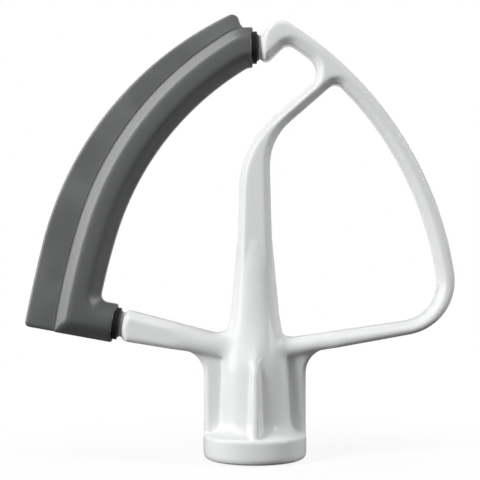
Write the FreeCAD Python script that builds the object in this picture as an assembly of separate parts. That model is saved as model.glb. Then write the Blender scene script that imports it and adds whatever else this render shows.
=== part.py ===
# Flat beater of a stand mixer, with a flexible wiping edge on one side.
# Millimetres. The origin is the centre of the hub's mouth, +Z runs up the shaft axis,
# +X points to the cast loop, -X to the wiping edge, and -Y is the front.
import os
from math import atan2, cos, degrees, pi, radians, sin, sqrt, tan

import FreeCAD
import Part

# Hub
collar_radius = 17.3
collar_height = 8.4
collar_lower_round = 1.8
collar_upper_bevel = 0.7
core_foot_radius = 11.8
core_foot_round = 4.6
core_top_radius = 11.1
core_top_height = 33.0

# Round spine that grows out of the hub's core and ends below the strut
spine_root_radius = 8.3
spine_root_height = 48.0
spine_middle_radius = 5.7
spine_middle_height = 75.0
spine_tip_radius = 4.7
spine_tip_drop = 11.9

# Shaft socket and its bayonet slot for the shaft's cross pin
shaft_radius = 6.35
shaft_clearance = 0.1
socket_depth = 38.0
socket_lead_in = 0.8
drill_point_angle = 118.0
cross_pin_diameter = 5.0
cross_pin_clearance = 0.6
cross_pin_reach = 9.4
bayonet_floor = 9.0
bayonet_angle = 80.0
bayonet_seat_drop = 1.8

# Flat webs and gusset ribs of the hub
web_thickness = 5.0
web_setback = 0.2
web_edge_bevel = 1.3
web_arm_fillet = 8.0
web_arm_lap = 2.5
rib_foot_reach = 17.0
rib_middle_reach = 13.3
rib_middle_height = 33.0
rib_top_reach = 8.0
rib_top_height = 46.0
rib_flank_slope = 0.38
rib_ridge_half = 0.8
rib_root_radius = 6.0

# Bars of the casting
bar_depth = 11.4
bar_width = 5.3
outer_bevel = 1.2
inner_bevel = 2.2

# Arms, given by where their edges would meet the shaft axis
arms_bottom_height = 32.4
arms_top_height = 38.7
right_arm_bottom_rise = 10.3
right_arm_top_rise = 8.3
left_arm_reach = 44.1
left_arm_end_height = 44.82
left_arm_end_rise = 10.3
left_arm_end_half_height = 5.2
arm_spine_fillet = 6.4

# Big loop on the right and its lower corner: reaches of its inner edge at the height of the
# top joint and at a drop below it
loop_top_reach = 13.55
loop_foot_reach = 62.6
loop_foot_drop = 94.0
loop_inner_radius = 114.6
loop_corner_inner_radius = 13.0

# Strut from the spine to the loop, set out below the top joint
strut_root_drop = 32.1
strut_rise = 41.0
strut_width = 4.6
strut_outer_bend = 31.0
strut_inner_bend = 20.0
strut_window_fillet = 3.2
strut_bay_fillet = 6.0
spine_strip_top_half = 4.85
spine_strip_root_half = 6.6

# Hook at the top, which carries the upper end of the wiping edge
top_joint_height = 138.0
hook_end_x = 2.4
hook_tip_rise = 8.5
hook_shoulder_rise = 4.4
hook_crown_round = 3.0
hook_chin_drop = 4.7
hook_chin_length = 2.2
hook_chin_round = 2.4
hook_throat_fillet = 3.6
hook_throat_angle = 45.0

# Necks and anchors of the casting inside the carrier
neck_radius = 4.1
neck_shoulder = 0.3
neck_root = 1.5
left_end_bevel_slope = 1.2
left_end_bevel_length = 2.1
hook_end_bevel_slope = 1.6
hook_end_bevel_length = 3.0
anchor_groove_radius = 3.0
anchor_groove_length = 1.5
anchor_head_length = 2.0
anchor_cover = 0.65
left_neck_length = 1.0
top_neck_length = 1.1

# Stiff carrier of the wiping edge
lip_radius = 4.45
lip_length = 0.6
collar_ring_radius = 5.4
collar_ring_length = 1.4
barrel_end_wall = 1.6
carrier_half_width = 4.3
carrier_half_depth = 4.3
carrier_bevel = 2.5
carrier_bend_round = 5.0
carrier_bend_fillet = 1.0

# Leg path shared by the carrier and the silicone: two arcs, the upper one the longer, which
# turn away from the straight line between their ends by an angle at each end
elbow_distance = 16.0
bend_distance = 6.5
leg_foot_angle = 21.8
leg_head_angle = 28.6
leg_upper_share = 2.72

# Silicone sleeve and blade
sleeve_half_width = 6.6
sleeve_half_depth = 6.5
sleeve_bevel = 4.0
stub_half_height = 6.45
sleeve_inner_fillet = 2.4
sleeve_bend_round = 12.0
sleeve_bend_fillet = 3.0
blade_thickness = 2.6
blade_edge_bevel = 0.6
blade_foot_width = 10.4
blade_tip_width = 5.0
blade_foot_angle = 23.2
blade_tip_angle = 32.1
blade_upper_share = 4.1
blade_end_inset = 4.5
blade_end_fillet = 3.0
blade_end_lap = 0.3
blade_tip_round = 2.5
blade_heel_round = 1.5

spine_axis = FreeCAD.Vector(0, 0, 1)
tolerance = 1e-5


def point(x, z, y=0.0):
    return FreeCAD.Vector(x, y, z)


def heading(angle):
    return point(cos(radians(angle)), sin(radians(angle)))


def line(start, end):
    return Part.makeLine(start, end)


def arc_about(centre, start, end):
    # The short arc from start to end about a centre in the front plane.
    first = atan2(start.z - centre.z, start.x - centre.x)
    last = atan2(end.z - centre.z, end.x - centre.x)
    sweep = (last - first + pi) % (2 * pi) - pi
    middle = first + sweep / 2
    radius = (start - centre).Length
    through = centre + point(radius * cos(middle), radius * sin(middle))
    return Part.Arc(start, through, end).toShape()


def meet(first, first_way, second, second_way):
    # Where two straight lines in the front plane cross.
    gap = second - first
    spread = first_way.x * second_way.z - first_way.z * second_way.x
    along = (gap.x * second_way.z - gap.z * second_way.x) / spread
    return first + first_way * along


def meet_circle(start, way, centre, radius):
    # Where a ray that starts inside a circle leaves it.
    gap = start - centre
    along = -gap.dot(way) + sqrt(gap.dot(way) ** 2 - gap.dot(gap) + radius ** 2)
    return start + way * along


def centre_between(start, end, radius):
    # Centre of the arc of a radius that bends to the left from start to end.
    half = (end - start) * 0.5
    aside = sqrt(radius ** 2 - half.dot(half)) / half.Length
    return start + half + point(-half.z, half.x) * aside


def prism(edges, half_depth, holes=()):
    wires = [Part.Wire(edges)] + [Part.Wire(hole) for hole in holes]
    face = Part.Face(wires)
    face.translate(point(0, 0, -half_depth))
    return face.extrude(point(0, 0, 2 * half_depth))


def round_corner(solid, corner, radius):
    # Rounds the one edge that runs front to back through a corner of the outline.
    def distance(edge):
        ends = [vertex.Point for vertex in edge.Vertexes]
        if len(ends) != 2 or abs(ends[0].x - ends[1].x) + abs(ends[0].z - ends[1].z) > tolerance:
            return float("inf")
        return (point(ends[0].x, ends[0].z) - corner).Length

    return solid.makeFillet(radius, [min(solid.Edges, key=distance)])


def face_loops(solid, half_depth):
    # The outer and the inner edge loops of the front and back faces of a prism.
    outer, inner = [], []
    for face in solid.Faces:
        if all(abs(abs(vertex.Y) - half_depth) < tolerance for vertex in face.Vertexes):
            if abs(face.BoundBox.YMax - face.BoundBox.YMin) < tolerance:
                for wire in face.Wires:
                    (outer if wire.isSame(face.OuterWire) else inner).extend(wire.Edges)
    return outer, inner


def away_from(edges, centre, normal):
    # The edges that do not lie in an end plane.
    def in_plane(edge):
        return all(abs((vertex.Point - centre).dot(normal)) < tolerance for vertex in edge.Vertexes)

    return [edge for edge in edges if not in_plane(edge)]


def cylinder(radius, start, way, length):
    return Part.makeCylinder(radius, length, start, way)


# Joints of the casting and the carrier: a point on the casting's end face and the way out of it.
left_joint = point(-left_arm_reach, left_arm_end_height)
left_out = heading(180 - left_arm_end_rise)
left_across = point(-left_out.z, left_out.x) * -1
top_joint = point(hook_end_x, top_joint_height)
top_out = point(-1, 0)
top_across = point(0, 1)

# Set-out of the arms, loop, strut and spine.
strut_root_height = top_joint_height - strut_root_drop
spine_tip_height = strut_root_height - spine_tip_drop
loop_top = point(loop_top_reach, top_joint_height)
loop_foot = point(loop_foot_reach, top_joint_height - loop_foot_drop)
loop_centre = centre_between(loop_foot, loop_top, loop_inner_radius)
loop_outer_radius = loop_inner_radius + bar_width
arms_bottom = point(0, arms_bottom_height)
arms_top = point(0, arms_top_height)
right_bottom_way = heading(right_arm_bottom_rise)
right_top_way = heading(right_arm_top_rise)
left_arm_top_end = left_joint + left_across * left_arm_end_half_height
left_arm_bottom_end = left_joint - left_across * left_arm_end_half_height
strut_way = heading(strut_rise)
strut_normal = heading(strut_rise + 90)
strut_root = point(0, strut_root_height)
strut_upper = strut_root + strut_normal * (strut_width / 2)
strut_lower = strut_root - strut_normal * (strut_width / 2)
bar_half_depth = bar_depth / 2


def make_plate():
    # Arms, loop, strut and hook as one flat frame, rounded in the front view and bevelled.
    left_edge = point(-spine_strip_top_half, strut_root_height)
    left_edge_way = point(-spine_strip_root_half, arms_top_height) - left_edge
    right_edge = point(spine_strip_top_half, strut_root_height)
    right_edge_way = point(spine_strip_root_half, arms_top_height) - right_edge
    left_top_way = left_arm_top_end - arms_top

    outer_corner = meet_circle(arms_bottom, right_bottom_way, loop_centre, loop_outer_radius)
    tip_height = top_joint_height + hook_tip_rise
    tip_level = point(loop_centre.x, tip_height)
    tip = meet_circle(tip_level, point(1, 0), loop_centre, loop_outer_radius)
    shoulder = top_joint + top_across * hook_shoulder_rise
    crown = point(shoulder.x + hook_tip_rise - hook_shoulder_rise, tip_height)
    chin_back = top_joint - top_across * hook_chin_drop
    chin = chin_back - top_out * hook_chin_length
    throat = meet_circle(chin, heading(hook_throat_angle), loop_centre, loop_inner_radius)
    bay_corner = meet_circle(strut_upper, strut_way, loop_centre, loop_inner_radius)
    outer_bend = meet(strut_upper, strut_way, left_edge, left_edge_way)
    left_root = meet(left_edge, left_edge_way, arms_top, left_top_way)

    outline = [
        line(left_arm_bottom_end, arms_bottom),
        line(arms_bottom, outer_corner),
        arc_about(loop_centre, outer_corner, tip),
        line(tip, crown),
        line(crown, shoulder),
        line(shoulder, chin_back),
        line(chin_back, chin),
        line(chin, throat),
        arc_about(loop_centre, throat, bay_corner),
        line(bay_corner, outer_bend),
        line(outer_bend, left_root),
        line(left_root, left_arm_top_end),
        line(left_arm_top_end, left_arm_bottom_end),
    ]

    window_top = meet_circle(strut_lower, strut_way, loop_centre, loop_inner_radius)
    window_corner = meet_circle(arms_top, right_top_way, loop_centre, loop_inner_radius)
    right_root = meet(right_edge, right_edge_way, arms_top, right_top_way)
    inner_bend = meet(strut_lower, strut_way, right_edge, right_edge_way)
    window = [
        arc_about(loop_centre, window_top, window_corner),
        line(window_corner, right_root),
        line(right_root, inner_bend),
        line(inner_bend, window_top),
    ]

    plate = prism(outline, bar_half_depth, [window])
    rounds = [
        (outer_corner, loop_corner_inner_radius + bar_width),
        (tip, hook_crown_round),
        (crown, hook_crown_round),
        (chin, hook_chin_round),
        (throat, hook_throat_fillet),
        (bay_corner, strut_bay_fillet),
        (outer_bend, strut_outer_bend),
        (left_root, arm_spine_fillet),
        (window_top, strut_window_fillet),
        (window_corner, loop_corner_inner_radius),
        (right_root, arm_spine_fillet),
        (inner_bend, strut_inner_bend),
    ]
    for corner, radius in rounds:
        plate = round_corner(plate, corner, radius)

    bay, rim = split_rim(plate, throat)
    plate = plate.makeChamfer(outer_bevel, rim)
    bay, rim = split_rim(plate, throat)
    plate = plate.makeChamfer(inner_bevel, bay)
    outer, inner = face_loops(plate, bar_half_depth)
    return plate.makeChamfer(inner_bevel, inner)


def split_rim(plate, throat):
    # The bevelled edges of the outline: those that line the bay under the hook, and the outer rim.
    outer, inner = face_loops(plate, bar_half_depth)
    outer = away_from(outer, left_joint, left_out)
    outer = away_from(outer, top_joint, top_out)
    bay = chain_through(outer, throat)
    return bay, [edge for edge in outer if not any(edge.isSame(other) for other in bay)]


def chain_through(edges, corner):
    # The edges that follow on from the ones nearest to a corner, end to end in the front view.
    def ends(edge):
        return [point(vertex.X, vertex.Z) for vertex in edge.Vertexes]

    def near(edge):
        return min((end - corner).Length for end in ends(edge))

    nearest = min(near(edge) for edge in edges)
    chain = [edge for edge in edges if near(edge) < nearest + tolerance]
    rest = [edge for edge in edges if near(edge) >= nearest + tolerance]
    grown = True
    while grown:
        reached = [end for edge in chain for end in ends(edge)]
        more = [edge for edge in rest if touches(ends(edge), reached)]
        rest = [edge for edge in rest if not touches(ends(edge), reached)]
        chain += more
        grown = bool(more)
    return chain


def touches(ends, others):
    return any((end - other).Length < tolerance for end in ends for other in others)


def sharpen_end(solid, joint, out, slope, length):
    # Bevels the end of a bar all round, down to the shoulder of its neck.
    start = joint - out * length
    end_radius = neck_radius + neck_shoulder
    waste = cylinder(bar_depth, start, out, length)
    waste = waste.cut(Part.makeCone(end_radius + length * slope, end_radius, length, start, out))
    return solid.cut(waste)


def make_anchor(joint, out, neck_length):
    # Neck, groove and head that the carrier is moulded round.
    neck = cylinder(neck_radius, joint - out * neck_root, out, neck_root + neck_length)
    groove_start = joint + out * neck_length
    groove = cylinder(anchor_groove_radius, groove_start, out, anchor_groove_length)
    head_start = groove_start + out * anchor_groove_length
    head = cylinder(neck_radius, head_start, out, anchor_head_length)
    return neck.fuse([groove, head])


def make_turned_body():
    # Collar, core and spine as one turned profile.
    foot_top = collar_height + core_foot_round
    lower_centre = point(collar_radius - collar_lower_round, collar_lower_round)
    foot_centre = point(core_foot_radius + core_foot_round, foot_top)
    rim_start = point(lower_centre.x, 0)
    rim_middle = lower_centre + heading(-45) * collar_lower_round
    side_low = point(collar_radius, lower_centre.z)
    side_high = point(collar_radius, collar_height - collar_upper_bevel)
    ledge_out = point(collar_radius - collar_upper_bevel, collar_height)
    ledge_in = point(foot_centre.x, collar_height)
    core_foot = point(core_foot_radius, foot_top)
    core_top = point(core_top_radius, core_top_height)
    spine_root = point(spine_root_radius, spine_root_height)
    spine_middle = point(spine_middle_radius, spine_middle_height)
    spine_tip = point(spine_tip_radius, spine_tip_height)
    profile = [
        line(point(0, 0), rim_start),
        line(rim_start, rim_middle),
        line(rim_middle, side_low),
        line(side_low, side_high),
        line(side_high, ledge_out),
        line(ledge_out, ledge_in),
        arc_about(foot_centre, ledge_in, core_foot),
        line(core_foot, core_top),
        line(core_top, spine_root),
        line(spine_root, spine_middle),
        line(spine_middle, spine_tip),
        line(spine_tip, point(0, spine_tip_height)),
        line(point(0, spine_tip_height), point(0, 0)),
    ]
    return Part.Face(Part.Wire(profile)).revolve(point(0, 0), spine_axis, 360)


def make_web():
    # One flat web through the hub, filleted into the underside of both arms.
    reach = collar_radius - web_setback
    lap_reach = reach + web_arm_lap + web_arm_fillet
    foot = collar_height / 2
    lap = point(0, web_arm_lap)
    left_bottom_way = left_arm_bottom_end - arms_bottom
    upright = point(0, 1)
    right_corner = meet(point(reach, 0), upright, arms_bottom, right_bottom_way)
    right_lap = meet(point(lap_reach, 0), upright, arms_bottom, right_bottom_way)
    left_corner = meet(point(-reach, 0), upright, arms_bottom, left_bottom_way)
    left_lap = meet(point(-lap_reach, 0), upright, arms_bottom, left_bottom_way)
    corners = [
        point(-reach, foot), point(reach, foot), right_corner, right_lap, right_lap + lap,
        arms_bottom + lap, left_lap + lap, left_lap, left_corner,
    ]
    edges = [line(start, end) for start, end in zip(corners, corners[1:] + corners[:1])]
    web = prism(edges, web_thickness / 2)
    for corner in (right_corner, left_corner):
        web = round_corner(web, corner, web_arm_fillet)
    outer, inner = face_loops(web, web_thickness / 2)
    rims = [edge for edge in outer if is_web_rim(edge, reach)]
    return web.makeChamfer(web_edge_bevel, rims)


def is_web_rim(edge, reach):
    # The upright rims and the fillets that follow them.
    ends = [vertex.Point for vertex in edge.Vertexes]
    upright = all(abs(abs(end.x) - reach) < tolerance for end in ends)
    return upright or isinstance(edge.Curve, Part.Circle)


def make_front_rib():
    # Gusset rib with a narrow flat ridge: one straight run up the core, one that leans into the spine.
    root_depth = rib_foot_reach - rib_root_radius
    root_half = rib_ridge_half + root_depth * rib_flank_slope

    def section(ridge):
        corners = [
            ridge + point(-root_half, 0, root_depth),
            ridge + point(-rib_ridge_half, 0),
            ridge + point(rib_ridge_half, 0),
            ridge + point(root_half, 0, root_depth),
        ]
        return Part.Face(Part.makePolygon(corners + corners[:1]))

    foot = point(0, collar_height / 2, -rib_foot_reach)
    middle = point(0, rib_middle_height, -rib_middle_reach)
    top = point(0, rib_top_height, -rib_top_reach)
    lower = section(foot).extrude(middle - foot)
    upper = section(middle).extrude(top - middle)
    return lower.fuse(upper)


def make_socket():
    # Blind shaft hole with a lead-in, and the bayonet slot: in, round and back down to a seat.
    bore_radius = shaft_radius + shaft_clearance
    point_height = bore_radius / tan(radians(drill_point_angle / 2))
    bore = cylinder(bore_radius, point(0, 0), spine_axis, socket_depth)
    drill_point = Part.makeCone(bore_radius, 0, point_height, point(0, socket_depth), spine_axis)
    lead_in = Part.makeCone(bore_radius + socket_lead_in, bore_radius, socket_lead_in,
                            point(0, 0), spine_axis)

    slot_width = cross_pin_diameter + cross_pin_clearance
    slot_top = bayonet_floor + slot_width
    ring = cylinder(cross_pin_reach, point(0, 0), spine_axis, slot_top)
    keyway = ring.common(Part.makeBox(slot_width, cross_pin_reach, slot_top,
                                      point(-slot_width / 2, 0, -cross_pin_reach)))
    seat_height = bayonet_seat_drop + slot_width
    seat = Part.makeBox(slot_width, cross_pin_reach, seat_height,
                        point(-slot_width / 2, bayonet_floor - bayonet_seat_drop, -cross_pin_reach))
    seat = ring.common(seat)
    seat.rotate(point(0, 0), spine_axis, bayonet_angle)
    turn = Part.makeCylinder(cross_pin_reach, slot_width, point(0, bayonet_floor), spine_axis,
                             bayonet_angle)
    turn.rotate(point(0, 0), spine_axis, -90)
    return bore.fuse([drill_point, lead_in, keyway, seat, turn])


def make_beater_frame(anchors):
    plate = make_plate()
    plate = sharpen_end(plate, left_joint, left_out, left_end_bevel_slope, left_end_bevel_length)
    plate = sharpen_end(plate, top_joint, top_out, hook_end_bevel_slope, hook_end_bevel_length)
    front_rib = make_front_rib()
    back_rib = front_rib.mirror(point(0, 0), point(0, 0, 1))
    body = make_turned_body().fuse([plate, make_web(), front_rib, back_rib] + anchors)
    return body.cut(make_socket())


def arc_centre(touch, way, through):
    # Centre of the arc that bends right from a direction at one point and runs through another.
    side = point(way.z, -way.x)
    gap = through - touch
    return touch + side * (gap.dot(gap) / (2 * side.dot(gap)))


def two_arcs(start, start_angle, end, end_angle, upper_share):
    # Two arcs that meet smoothly and turn from the straight line at each end: centres and meeting point.
    span = end - start
    direct = degrees(atan2(span.z, span.x))
    start_way = heading(direct + start_angle)
    end_way = heading(direct - end_angle)
    along = span.dot(start_way + end_way * upper_share)
    turn = 2 * upper_share * (1 - start_way.dot(end_way))
    reach = (sqrt(along ** 2 + turn * span.dot(span)) - along) / turn
    first = start + start_way * reach
    last = end - end_way * (reach * upper_share)
    change = first + (last - first) * (1 / (1 + upper_share))
    return arc_centre(start, start_way, change), arc_centre(end, end_way, change), change


def leg_arcs():
    # The leg runs between the elbow and the bend, which lie on the two joint axes.
    elbow = left_joint + left_out * elbow_distance
    bend = top_joint + top_out * bend_distance
    return two_arcs(elbow, leg_foot_angle, bend, leg_head_angle, leg_upper_share)


def sleeve_ends():
    # Middle of the silicone's two end faces.
    covered = lip_length + collar_ring_length
    left_sleeve = left_joint + left_out * (left_neck_length + covered)
    return left_sleeve, top_joint + top_out * (top_neck_length + covered)


def make_leg(half_width, half_depth, bevel, foot_drop, head_half, left_start, top_start, rounds):
    # A bevelled bar along the leg, with a short stub on each joint axis.
    low, high, change = leg_arcs()
    low_radius = (change - low).Length
    high_radius = (change - high).Length
    outer_change = low + (change - low) * (1 + half_width / low_radius)
    inner_change = low + (change - low) * (1 - half_width / low_radius)
    foot_line = left_start - left_across * foot_drop
    stub_line = left_start + left_across * foot_drop
    roof_line = top_start + top_across * head_half
    floor_line = top_start - top_across * head_half
    heel = meet_circle(foot_line, left_out, low, low_radius + half_width)
    crotch = meet_circle(stub_line, left_out, low, low_radius - half_width)
    roof = meet_circle(roof_line, top_out, high, high_radius + half_width)
    floor = meet_circle(floor_line, top_out, high, high_radius - half_width)
    outline = [
        line(foot_line, heel),
        arc_about(low, heel, outer_change),
        arc_about(high, outer_change, roof),
        line(roof, roof_line),
        line(roof_line, floor_line),
        line(floor_line, floor),
        arc_about(high, floor, inner_change),
        arc_about(low, inner_change, crotch),
        line(crotch, stub_line),
        line(stub_line, foot_line),
    ]
    leg = prism(outline, half_depth)
    crotch_round, roof_round, floor_round = rounds
    leg = round_corner(leg, crotch, crotch_round)
    leg = round_corner(leg, roof, roof_round)
    leg = round_corner(leg, floor, floor_round)
    outer, inner = face_loops(leg, half_depth)
    outer = away_from(outer, left_start, left_out)
    outer = away_from(outer, top_start, top_out)
    return leg.makeChamfer(bevel, outer)


def make_blade():
    # Thin wiping blade: its free edge is nearly straight at the foot and bends towards the tip.
    low, high, change = leg_arcs()
    low_radius = (change - low).Length
    high_radius = (change - high).Length
    bend = top_joint + top_out * bend_distance
    left_sleeve, top_sleeve = sleeve_ends()
    foot_line = left_sleeve - left_across * stub_half_height
    root_foot = meet_circle(foot_line, left_out, low, low_radius)
    foot_radius = low_radius + sleeve_half_width + blade_foot_width
    tip_radius = high_radius + sleeve_half_width + blade_tip_width
    lap_line = top_sleeve + top_across * (sleeve_half_width - blade_end_lap)
    end_corner = lap_line + top_out * blade_end_inset
    free_foot = meet_circle(foot_line, left_out, low, foot_radius)
    free_tip = meet_circle(end_corner, top_across, high, tip_radius)
    free_low, free_high, free_change = two_arcs(free_foot, blade_foot_angle, free_tip, blade_tip_angle,
                                                blade_upper_share)
    lap_end = lap_line + top_out * (blade_end_inset - blade_end_fillet - blade_end_lap)
    root_end = point(lap_end.x, top_joint_height)
    outline = [
        line(root_foot, free_foot),
        arc_about(free_low, free_foot, free_change),
        arc_about(free_high, free_change, free_tip),
        line(free_tip, end_corner),
        line(end_corner, lap_end),
        line(lap_end, root_end),
        line(root_end, bend),
        arc_about(high, bend, change),
        arc_about(low, change, root_foot),
    ]
    blade = prism(outline, blade_thickness / 2)
    blade = round_corner(blade, free_foot, blade_heel_round)
    blade = round_corner(blade, free_tip, blade_tip_round)
    blade = round_corner(blade, end_corner, blade_end_fillet)
    outer, inner = face_loops(blade, blade_thickness / 2)
    buried = (root_foot, change, bend, root_end, lap_end)
    return blade.makeChamfer(blade_edge_bevel, [edge for edge in outer if not joins(edge, buried)])


def joins(edge, corners):
    # Whether both ends of an edge are on the listed corners of an outline.
    ends = [point(vertex.X, vertex.Z) for vertex in edge.Vertexes]
    return all(min((end - corner).Length for corner in corners) < tolerance for end in ends)


def make_barrel(joint, out, bare_neck, length):
    # Socket barrel round an anchor, with its thin lip against the casting.
    lip_start = joint + out * bare_neck
    ring_start = lip_start + out * lip_length
    lip = cylinder(lip_radius, lip_start, out, lip_length)
    return lip.fuse(cylinder(collar_ring_radius, ring_start, out, length))


def main():
    os.makedirs("parts", exist_ok=True)
    reach_in = lip_length + collar_ring_length + anchor_cover
    anchors = [
        make_anchor(left_joint, left_out, left_neck_length + reach_in),
        make_anchor(top_joint, top_out, top_neck_length + reach_in),
    ]
    frame = make_beater_frame(anchors)

    barrel_length = collar_ring_length + anchor_cover + anchor_groove_length + anchor_head_length
    barrel_length += barrel_end_wall
    left_sleeve, top_sleeve = sleeve_ends()
    inset = collar_ring_length
    carrier_rounds = (sleeve_inner_fillet + sleeve_half_width - carrier_half_width,
                      carrier_bend_round, carrier_bend_fillet)
    core = make_leg(carrier_half_width, carrier_half_depth, carrier_bevel, carrier_half_width,
                    carrier_half_width, left_sleeve + left_out * inset, top_sleeve + top_out * inset,
                    carrier_rounds)
    core = core.fuse([make_barrel(left_joint, left_out, left_neck_length, barrel_length),
                      make_barrel(top_joint, top_out, top_neck_length, barrel_length)])
    core = core.removeSplitter()
    carrier = core.cut(anchors)

    sleeve = make_leg(sleeve_half_width, sleeve_half_depth, sleeve_bevel, stub_half_height,
                      sleeve_half_width, left_sleeve, top_sleeve,
                      (sleeve_inner_fillet, sleeve_bend_round, sleeve_bend_fillet))
    edge = sleeve.fuse(make_blade()).removeSplitter().cut(core)

    for name, shape in (("beater_frame", frame), ("edge_carrier", carrier), ("flex_edge", edge)):
        print(name, "volume in cubic millimetres:", round(shape.Volume))
        shape.exportStep("parts/" + name + ".step")


main()
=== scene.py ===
from math import cos, pi, radians, sin

import bmesh
import bpy
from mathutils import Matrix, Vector


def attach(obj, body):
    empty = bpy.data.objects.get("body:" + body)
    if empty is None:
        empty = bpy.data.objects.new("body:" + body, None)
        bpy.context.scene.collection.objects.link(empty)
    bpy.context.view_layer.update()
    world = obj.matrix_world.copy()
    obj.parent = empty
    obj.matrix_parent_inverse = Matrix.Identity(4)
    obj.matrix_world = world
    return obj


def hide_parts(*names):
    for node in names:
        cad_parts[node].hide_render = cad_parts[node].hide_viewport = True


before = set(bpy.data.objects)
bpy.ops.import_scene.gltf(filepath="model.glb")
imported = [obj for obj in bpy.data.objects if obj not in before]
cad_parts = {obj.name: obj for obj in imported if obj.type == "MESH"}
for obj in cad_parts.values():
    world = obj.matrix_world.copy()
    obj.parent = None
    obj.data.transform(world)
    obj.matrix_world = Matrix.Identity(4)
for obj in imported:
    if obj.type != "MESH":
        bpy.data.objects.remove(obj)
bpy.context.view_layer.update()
mm = 0.001
softStep = 0.1 * mm  # half the width of a soft border between two finishes
print("frame loaded:", ", ".join(sorted(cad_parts)))


class Wire:  # a socket that adds, scales and compares like a number
    def __init__(self, maker, socket):
        self.maker = maker
        self.socket = socket

    def math(self, operation, *values):
        return self.maker.node("ShaderNodeMath", {"operation": operation}, dict(enumerate(values)))

    def other(self, name):  # another output of the same node
        return Wire(self.maker, self.socket.node.outputs[name])

    def larger(self, rival):
        return self.math("MAXIMUM", self, rival)

    def sine(self):
        return self.math("SINE", self)

    def smooth(self, low, high):  # 0 below low, 1 above high
        ends = {"Value": self, "From Min": low, "From Max": high}
        return self.maker.node("ShaderNodeMapRange", {"interpolation_type": "SMOOTHSTEP"}, ends)

    def below(self, limit, soft=softStep):  # 1 under the limit, 0 above it
        return 1 - self.smooth(limit - soft, limit + soft)

    def between(self, start, end):  # start where this is 0, end where it is 1
        return self * (end - start) + start

    def __add__(self, more):
        return self.math("ADD", self, more)

    def __sub__(self, less):
        return self.math("SUBTRACT", self, less)

    def __rsub__(self, start):
        return self.math("SUBTRACT", start, self)

    def __mul__(self, times):
        return self.math("MULTIPLY", self, times)

    def __pow__(self, power):
        return self.math("POWER", self, power)

    def __abs__(self):
        return self.math("ABSOLUTE", self)

    __radd__ = __add__
    __rmul__ = __mul__


class Maker:  # adds nodes to one tree
    def __init__(self, tree):
        self.tree = tree

    def node(self, kind, settings=None, sockets=None, output=0):
        made = self.tree.nodes.new(kind)
        for name, value in (settings or {}).items():
            setattr(made, name, value)
        for name, value in (sockets or {}).items():
            if isinstance(value, Wire):
                self.tree.links.new(value.socket, made.inputs[name])
            else:
                made.inputs[name].default_value = value
        return Wire(self, made.outputs[output]) if made.outputs else None

    def objectPlace(self):  # where a point is on the part
        return self.node("ShaderNodeTexCoord", None, None, "Object")

    def parts(self, vector):  # a vector's three numbers
        right = self.node("ShaderNodeSeparateXYZ", None, {0: vector})
        return right, right.other("Y"), right.other("Z")

    def mixColour(self, share, first, second):  # 6, 7 and output 2 are the Mix node's colour sockets
        return self.node("ShaderNodeMix", {"data_type": "RGBA"}, {0: share, 6: first, 7: second}, 2)

    def along(self, place, start, way):  # distance from a start point along a direction
        gap = self.node("ShaderNodeVectorMath", {"operation": "SUBTRACT"}, {0: place, 1: start})
        return self.node("ShaderNodeVectorMath", {"operation": "DOT_PRODUCT"}, {0: gap, 1: way}, "Value")

    def blur(self, value, passes, weight):  # evens out a vector over the mesh
        return self.node("GeometryNodeBlurAttribute", {"data_type": "FLOAT_VECTOR"}, {
            "Value": value, "Iterations": passes, "Weight": weight})

    def noise(self, place, size, detail=2.0):  # size is the width of one speck in metres
        return self.node("ShaderNodeTexNoise", None, {
            "Vector": place, "Scale": 1 / size, "Detail": detail})

    def bump(self, height, distance):
        return self.node("ShaderNodeBump", None, {
            "Strength": 1.0, "Distance": distance, "Height": height})


def newMaterial(name):
    material = bpy.data.materials.new(name)
    material.use_nodes = True
    material.node_tree.nodes.clear()
    return material, Maker(material.node_tree)


def finishMaterial(maker, sockets):
    shader = maker.node("ShaderNodeBsdfPrincipled", None, sockets)
    maker.node("ShaderNodeOutputMaterial", None, {"Surface": shader})


# Meshing that the pieces share
meshing = {
    "mergeGap": 0.002 * mm,
    "octreeScale": 0.95,
}


def mergedCopy(node, name):  # a closed copy of a CAD node, ready for modifiers
    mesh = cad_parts[node].data.copy()
    mesh.materials.clear()
    work = bmesh.new()
    work.from_mesh(mesh)
    bmesh.ops.remove_doubles(work, verts=work.verts, dist=meshing["mergeGap"])
    work.to_mesh(mesh)
    work.free()
    piece = bpy.data.objects.new(name, mesh)
    bpy.context.scene.collection.objects.link(piece)
    return piece


def remesh(piece, depth):  # even small faces that keep every sharp edge in place
    step = piece.modifiers.new("remesh", "REMESH")
    step.mode = "SHARP"
    step.octree_depth = depth
    step.scale = meshing["octreeScale"]
    step.use_remove_disconnected = False
    step.use_smooth_shade = True


def thin(piece, keep):  # joins faces where the surface hardly bends
    step = piece.modifiers.new("thin", "DECIMATE")
    step.ratio = keep


def newTree(name, counts, sizes):  # a node tree on a mesh with named whole-number and length inputs
    tree = bpy.data.node_groups.new(name, "GeometryNodeTree")
    tree.interface.new_socket("Geometry", in_out="INPUT", socket_type="NodeSocketGeometry")
    for count in counts:
        tree.interface.new_socket(count, in_out="INPUT", socket_type="NodeSocketInt")
    for size in sizes:
        tree.interface.new_socket(size, in_out="INPUT", socket_type="NodeSocketFloat")
    tree.interface.new_socket("Geometry", in_out="OUTPUT", socket_type="NodeSocketGeometry")
    return tree


def finishTree(maker, asked, moved, material):  # moves the points, then shades and paints the mesh
    body = maker.node("GeometryNodeSetPosition", None, {"Geometry": asked, "Position": moved})
    body = maker.node("GeometryNodeSetShadeSmooth", None, {"Geometry": body})
    body = maker.node("GeometryNodeRealizeInstances", None, {"Geometry": body})
    body = maker.node("GeometryNodeSetMaterial", None, {"Geometry": body, "Material": material})
    maker.node("NodeGroupOutput", None, {"Geometry": body})


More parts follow.
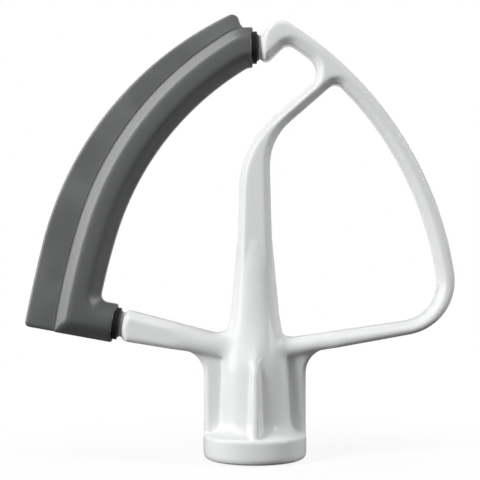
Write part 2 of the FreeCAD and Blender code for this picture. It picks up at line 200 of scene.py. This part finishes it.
def addTree(piece, tree, values):  # puts a node tree on a piece and sets its inputs
    modifier = piece.modifiers.new(tree.name, "NODES")
    modifier.node_group = tree
    for item in tree.interface.items_tree:
        if item.item_type == "SOCKET" and item.in_out == "INPUT" and item.name in values:
            modifier[item.identifier] = values[item.name]


def makePlain(piece):  # turns the modifiers' result into the piece's own mesh
    shown = piece.evaluated_get(bpy.context.evaluated_depsgraph_get())
    mesh = bpy.data.meshes.new_from_object(shown)
    piece.modifiers.clear()
    piece.data = mesh
    mesh.name = piece.name


def standFor(piece, node):  # the piece takes the place of its CAD node
    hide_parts(node)
    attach(piece, "root")
    print(piece.name, "has", sum(len(face.vertices) - 2 for face in piece.data.polygons), "triangles")


def makeSoftPiece(node, name, values, tree):  # a CAD node with its edges softened by a node tree
    piece = mergedCopy(node, name)
    remesh(piece, values["octreeDepth"])
    addTree(piece, tree, values)
    thin(piece, values["keepShare"])
    makePlain(piece)
    standFor(piece, node)


# Glossy white coating, with bare turned metal left in the shaft socket
coating = {
    "white": (0.81, 0.82, 0.818, 1),
    "pale": (0.78, 0.792, 0.79, 1),
    "metal": (0.56, 0.57, 0.58, 1),
    "flowSize": 22 * mm,
    "flowDetail": 3.0,
    "peelSize": 2.2 * mm,
    "peelDetail": 1.0,
    "peelDepth": 0.003 * mm,
    "rough": 0.17,
    "flowRough": 0.10,
    "metalRough": 0.10,
    "coat": 0.32,
    "coatRough": 0.10,
    "specular": 0.10,
    "slotRadius": 9.7 * mm,
    "slotTop": 16.0 * mm,
    "boreRadius": 7.3 * mm,
    "boreTop": 42.5 * mm,
    "boreFoot": 0.35 * mm,
    "ringPitch": 0.35 * mm,
    "ringShare": 0.5,
    "seamHalf": 0.18 * mm,
    "seamShare": 2.0,
}


def makeCoating():
    material, maker = newMaterial("whiteCoating")
    place = maker.objectPlace()
    flat, depth, height = maker.parts(place)
    radius = (flat * flat + depth * depth) ** 0.5
    slot = radius.below(coating["slotRadius"]) * height.below(coating["slotTop"])
    bore = radius.below(coating["boreRadius"]) * height.below(coating["boreTop"])
    metal = slot.larger(bore) * (1 - height.below(coating["boreFoot"]))
    flow = maker.noise(place, coating["flowSize"], coating["flowDetail"])
    peel = maker.noise(place, coating["peelSize"], coating["peelDetail"])
    turn = height * (2 * pi / coating["ringPitch"])
    rings = turn.sine() * coating["ringShare"]  # tool marks in the socket
    seam = abs(depth).below(coating["seamHalf"]) * coating["seamShare"]  # faint parting line of the mould
    skin = (peel + seam) * (1 - metal) + rings * metal
    paint = maker.mixColour(flow, coating["white"], coating["pale"])
    finishMaterial(maker, {
        "Base Color": maker.mixColour(metal, paint, coating["metal"]),
        "Metallic": metal,
        "Roughness": flow * coating["flowRough"] + metal * coating["metalRough"] + coating["rough"],
        "Coat Weight": coating["coat"] * (1 - metal),
        "Coat Roughness": coating["coatRough"],
        "Specular IOR Level": coating["specular"],
        "Normal": maker.bump(skin, coating["peelDepth"]),
    })
    return material


# Casting: cut into small even faces, softened like poured metal, then thinned again
casting = {
    "octreeDepth": 9,
    "keepShare": 0.36,
    "Skin Passes": 9,
    "Blend Passes": 200,
    "Blend Low": 29 * mm,
    "Blend High": 64 * mm,
    "Blend Feather": 14 * mm,
    "Blend Reach": 28 * mm,
    "Still Depth": 2.0 * mm,
    "Free Depth": 5.5 * mm,
    "Bore Radius": 7.9 * mm,
    "Bore Top": 43.5 * mm,
}


def makeCastingTree(material):
    tree = newTree("softenCasting", ("Skin Passes", "Blend Passes"), (
        "Blend Low", "Blend High", "Blend Feather", "Blend Reach", "Still Depth", "Free Depth",
        "Bore Radius", "Bore Top"))
    maker = Maker(tree)
    asked = maker.node("NodeGroupInput")
    here = maker.node("GeometryNodeInputPosition")
    flat, depth, height = maker.parts(here)
    radius = (flat * flat + depth * depth) ** 0.5
    inside = radius.below(asked.other("Bore Radius")) * height.below(asked.other("Bore Top"))
    low, high = asked.other("Blend Low"), asked.other("Blend High")
    feather, reach = asked.other("Blend Feather"), asked.other("Blend Reach")
    rising = height.smooth(low, low + feather)
    falling = 1 - height.smooth(high - feather, high)
    nearby = 1 - abs(flat).smooth(reach - feather, reach)
    raised = abs(depth).smooth(asked.other("Still Depth"), asked.other("Free Depth"))  # the outline stays
    skin = maker.blur(here, asked.other("Skin Passes"), 1 - inside)
    blend = rising * falling * nearby * raised * (1 - inside)  # where the arms, ribs and spine meet
    finishTree(maker, asked, maker.blur(skin, asked.other("Blend Passes"), blend), material)
    return tree


makeSoftPiece("beater_frame", "beater_casting", casting, makeCastingTree(makeCoating()))


# Satin grey silicone with a fine moulded grain
silicone = {
    "dark": (0.060, 0.0625, 0.0625, 1),
    "light": (0.072, 0.0745, 0.0745, 1),
    # real wear in pale patches, plus painted sheen lifting the whole blade
    "wornAndSheenTone": (0.165, 0.170, 0.170, 1),
    # painted shade in the crease at the slope's foot
    "creaseShade": (0.030, 0.031, 0.031, 1),
    "bladeHalf": 1.36 * mm,
    "bladeSoft": 0.03 * mm,
    "creaseHalf": 1.75 * mm,
    "creaseSoft": 0.15 * mm,
    "scuffSize": 24 * mm,
    "scuffLow": 0.40,
    "scuffHigh": 0.62,
    "bladeSheenBase": 0.20,
    "scuffShare": 0.42,
    "mottleSize": 14 * mm,
    "mottleDetail": 3.0,
    "grainSize": 0.35 * mm,
    "grainDepth": 0.012 * mm,
    "rough": 0.33,
    "mottleRough": 0.08,
    "grainRough": 0.06,
    "creaseRough": 0.4,
    "specular": 1.0,
}


def makeSilicone():
    material, maker = newMaterial("greySilicone")
    place = maker.objectPlace()
    mottle = maker.noise(place, silicone["mottleSize"], silicone["mottleDetail"])
    grain = maker.noise(place, silicone["grainSize"])
    depth = abs(maker.parts(place)[1])
    blade = depth.below(silicone["bladeHalf"], silicone["bladeSoft"])
    creaseShade = depth.below(silicone["creaseHalf"], silicone["creaseSoft"]) - blade  # painted shade: a dark line at its foot, where shade falls in the crease
    rubbed = maker.noise(place, silicone["scuffSize"])
    rubbed = rubbed.smooth(silicone["scuffLow"], silicone["scuffHigh"])
    wearAndSheen = blade * (rubbed * silicone["scuffShare"] + silicone["bladeSheenBase"])  # paler where it wipes, plus a painted sheen that lifts the whole blade
    tone = maker.mixColour(mottle, silicone["dark"], silicone["light"])
    tone = maker.mixColour(wearAndSheen, tone, silicone["wornAndSheenTone"])
    unevenness = mottle * silicone["mottleRough"] + grain * silicone["grainRough"]
    finishMaterial(maker, {
        "Base Color": maker.mixColour(creaseShade, tone, silicone["creaseShade"]),
        "Roughness": unevenness + creaseShade * silicone["creaseRough"] + silicone["rough"],
        "Specular IOR Level": silicone["specular"],
        "Normal": maker.bump(grain, silicone["grainDepth"]),
    })
    return material


# Wiping edge: crisp along the blade and its slope, soft on the sleeve's bevels
wiping = {
    "octreeDepth": 9,
    "keepShare": 0.32,
    "Soft Passes": 80,
    "Crisp Depth": 3.1 * mm,
    "Soft Depth": 4.6 * mm,
    "Crisp Share": 0.04,
}


def makeSleeveTree(material):
    tree = newTree("softenSleeve", ("Soft Passes",), ("Crisp Depth", "Soft Depth", "Crisp Share"))
    maker = Maker(tree)
    asked = maker.node("NodeGroupInput")
    here = maker.node("GeometryNodeInputPosition")
    depth = abs(maker.parts(here)[1])
    weight = depth.smooth(asked.other("Crisp Depth"), asked.other("Soft Depth"))
    weight = weight.larger(asked.other("Crisp Share"))
    finishTree(maker, asked, maker.blur(here, asked.other("Soft Passes"), weight), material)
    return tree


makeSoftPiece("flex_edge", "wiping_edge", wiping, makeSleeveTree(makeSilicone()))


# Black nylon of the collars, with a greyer lip at each joint: a painted highlight for light caught on the
# collar's bevelled end
nylon = {
    "black": (0.006, 0.006, 0.0065, 1),
    "worn": (0.011, 0.011, 0.0115, 1),
    # painted highlight: light caught on the lip's bevel
    "lip": (0.115, 0.118, 0.118, 1),
    "mottleSize": 3 * mm,
    "mottleDetail": 3.0,
    "grainSize": 0.25 * mm,
    "grainDepth": 0.01 * mm,
    "rough": 0.38,
    "mottleRough": 0.15,
    "specular": 0.22,
    "leftJoint": (-44.1 * mm, 0, 44.82 * mm),
    "leftRise": 10.3,
    "leftLipEnd": 1.6 * mm,
    "topJoint": (2.4 * mm, 0, 138.0 * mm),
    "topLipEnd": 1.7 * mm,
    "lipSoft": 0.03 * mm,
    "upperLow": 90 * mm,
    "upperHigh": 91 * mm,
}


def makeNylon():
    material, maker = newMaterial("blackNylon")
    place = maker.objectPlace()
    rise = radians(nylon["leftRise"])
    leftAlong = maker.along(place, nylon["leftJoint"], (-cos(rise), 0, sin(rise)))
    topAlong = maker.along(place, nylon["topJoint"], (-1, 0, 0))
    upper = maker.parts(place)[2].smooth(nylon["upperLow"], nylon["upperHigh"])
    # painted highlight on the lip at each joint
    leftLipHighlight = leftAlong.below(nylon["leftLipEnd"], nylon["lipSoft"]) * (1 - upper)
    topLipHighlight = topAlong.below(nylon["topLipEnd"], nylon["lipSoft"]) * upper
    mottle = maker.noise(place, nylon["mottleSize"], nylon["mottleDetail"])
    grain = maker.noise(place, nylon["grainSize"])
    tone = maker.mixColour(mottle, nylon["black"], nylon["worn"])
    finishMaterial(maker, {
        "Base Color": maker.mixColour(leftLipHighlight + topLipHighlight, tone, nylon["lip"]),
        "Roughness": mottle * nylon["mottleRough"] + nylon["rough"],
        "Specular IOR Level": nylon["specular"],
        "Normal": maker.bump(grain, nylon["grainDepth"]),
    })
    return material


# Collars: flat faces joined, then a small rounding on every edge
collar = {
    "flatAngle": 1.0,
    "rounding": 0.22 * mm,
    "roundingSteps": 2,
    "edgeAngle": 40,
}


def makeCollars():
    piece = mergedCopy("edge_carrier", "edge_collars")
    piece.data.materials.append(makeNylon())
    work = bmesh.new()
    work.from_mesh(piece.data)
    flat = radians(collar["flatAngle"])
    bmesh.ops.dissolve_limit(work, angle_limit=flat, verts=work.verts, edges=work.edges)
    work.to_mesh(piece.data)
    work.free()
    step = piece.modifiers.new("rounding", "BEVEL")
    step.width = collar["rounding"]
    step.segments = collar["roundingSteps"]
    step.limit_method = "ANGLE"
    step.angle_limit = radians(collar["edgeAngle"])
    makePlain(piece)
    piece.data.shade_smooth()
    standFor(piece, "edge_carrier")


makeCollars()


# Studio: pale floor, white surround, two lamps that light the part and two that only mirror in it
studio = {
    "aim": (-5 * mm, 0, 70 * mm),
    "white": (1, 1, 1, 1),
    "floorHalf": 3.0,
    "floorDrop": 0.3 * mm,
    "paperSeen": 0.9,
    "paperBounce": 0.12,
    "glow": 1.0,
    "glowNear": 40 * mm,
    "glowFar": 120 * mm,
    "nearGlow": 0.87,
    "shineNear": 100 * mm,
    "shineFar": 900 * mm,
    "nearShine": 0.10,
    "frontLight": 0.20,
    "backLight": 0.45,
    "frontShine": 0.78,
    "backShine": 0.65,
    "rightShine": 0.25,
    "rightLow": 0.3,
    "rightHigh": 0.8,
    "turnLow": -0.3,
    "turnHigh": 0.4,
}
# Degrees to the right of the camera, degrees up, distance, width and height, watts, kind of light
lamps = {
    "keyLamp": (-56, 24, 1.3, (0.46, 0.90), 18.2, "fill"),
    "stripLamp": (-84, 32, 1.2, (0.75, 2.00), 18.6, "shine"),
    "sideLamp": (79, 30, 1.2, (0.35, 0.60), 7.4, "fill"),
    "windowLamp": (72, 21, 1.2, (0.40, 0.45), 3.6, "shine"),
}
camera = {
    "place": (-5 * mm, -430 * mm, 73.3 * mm),
    "tilt": 90,
    "lens": 95.85,
    "sensor": 36.0,
    "near": 0.01,
    "far": 20,
}


def mirroredRays(path):
    return path.other("Is Glossy Ray").larger(path.other("Is Transmission Ray"))


def makeFloor():
    half, low = studio["floorHalf"], -studio["floorDrop"]
    mesh = bpy.data.meshes.new("floor")
    corners = [(-half, -half, low), (half, -half, low), (half, half, low), (-half, half, low)]
    mesh.from_pydata(corners, [], [(0, 1, 2, 3)])
    floor = bpy.data.objects.new("floor", mesh)
    bpy.context.scene.collection.objects.link(floor)
    material, maker = newMaterial("paleFloor")
    seen = maker.node("ShaderNodeLightPath")  # its first output is Is Camera Ray
    place = maker.objectPlace()
    reach = maker.node("ShaderNodeVectorMath", {"operation": "LENGTH"}, {0: place}, "Value")
    farSeen = reach.smooth(studio["glowNear"], studio["glowFar"])
    farMirrored = reach.smooth(studio["shineNear"], studio["shineFar"])
    glow = seen * farSeen.between(studio["nearGlow"], 1)  # the shadow shows near the part
    shine = mirroredRays(seen) * farMirrored.between(studio["nearShine"], 1)
    shade = seen.between(studio["paperBounce"], studio["paperSeen"])
    tone = maker.node("ShaderNodeCombineColor", None, {0: shade, 1: shade, 2: shade})
    paper = maker.node("ShaderNodeBsdfDiffuse", None, {"Color": tone})
    white = maker.node("ShaderNodeEmission", None, {
        "Color": studio["white"], "Strength": studio["glow"]})
    mixed = maker.node("ShaderNodeMixShader", None, {0: glow + shine, 1: paper, 2: white})
    maker.node("ShaderNodeOutputMaterial", None, {"Surface": mixed})
    mesh.materials.append(material)


def makeSurround():  # white behind the part, dimmer in reflections, with a dark screen at the right
    world = bpy.data.worlds.new("surround")
    bpy.context.scene.world = world
    world.use_nodes = True
    world.node_tree.nodes.clear()
    maker = Maker(world.node_tree)
    seen = maker.node("ShaderNodeLightPath")
    mirrored = mirroredRays(seen)
    way = maker.node("ShaderNodeTexCoord", None, None, "Generated")
    right, back, _ = maker.parts(way)
    behind = back.smooth(studio["turnLow"], studio["turnHigh"])
    beside = right.smooth(studio["rightLow"], studio["rightHigh"]) * (1 - behind)
    shine = behind.between(studio["frontShine"], studio["backShine"])
    shine = beside.between(shine, studio["rightShine"])
    soft = behind.between(studio["frontLight"], studio["backLight"])
    level = seen + mirrored * shine + (1 - seen) * (1 - mirrored) * soft
    sky = maker.node("ShaderNodeBackground", None, {"Color": studio["white"], "Strength": level})
    maker.node("ShaderNodeOutputWorld", None, {"Surface": sky})


def makeLamps():  # fill lights the part without a reflection, shine is a reflection alone
    for name, (right, up, distance, size, power, kind) in lamps.items():
        level = cos(radians(up))
        way = Vector((sin(radians(right)) * level, -cos(radians(right)) * level, sin(radians(up))))
        light = bpy.data.lights.new(name, "AREA")
        light.shape = "RECTANGLE"
        light.size, light.size_y = size
        light.energy = power
        lamp = bpy.data.objects.new(name, light)
        lamp.location = Vector(studio["aim"]) + way * distance
        lamp.rotation_euler = (-way).to_track_quat("-Z", "Y").to_euler()
        lamp.visible_diffuse = kind != "shine"
        lamp.visible_glossy = kind != "fill"
        bpy.context.scene.collection.objects.link(lamp)


def makeCamera():
    data = bpy.data.cameras.new("camera")
    data.lens = camera["lens"]
    data.sensor_width = camera["sensor"]
    data.clip_start = camera["near"]
    data.clip_end = camera["far"]
    eye = bpy.data.objects.new("camera", data)
    eye.location = camera["place"]
    eye.rotation_euler = (radians(camera["tilt"]), 0, 0)
    bpy.context.scene.collection.objects.link(eye)
    bpy.context.scene.camera = eye


makeFloor()
makeSurround()
makeLamps()
makeCamera()
bpy.context.scene.view_settings.view_transform = "Standard"
print("studio set")
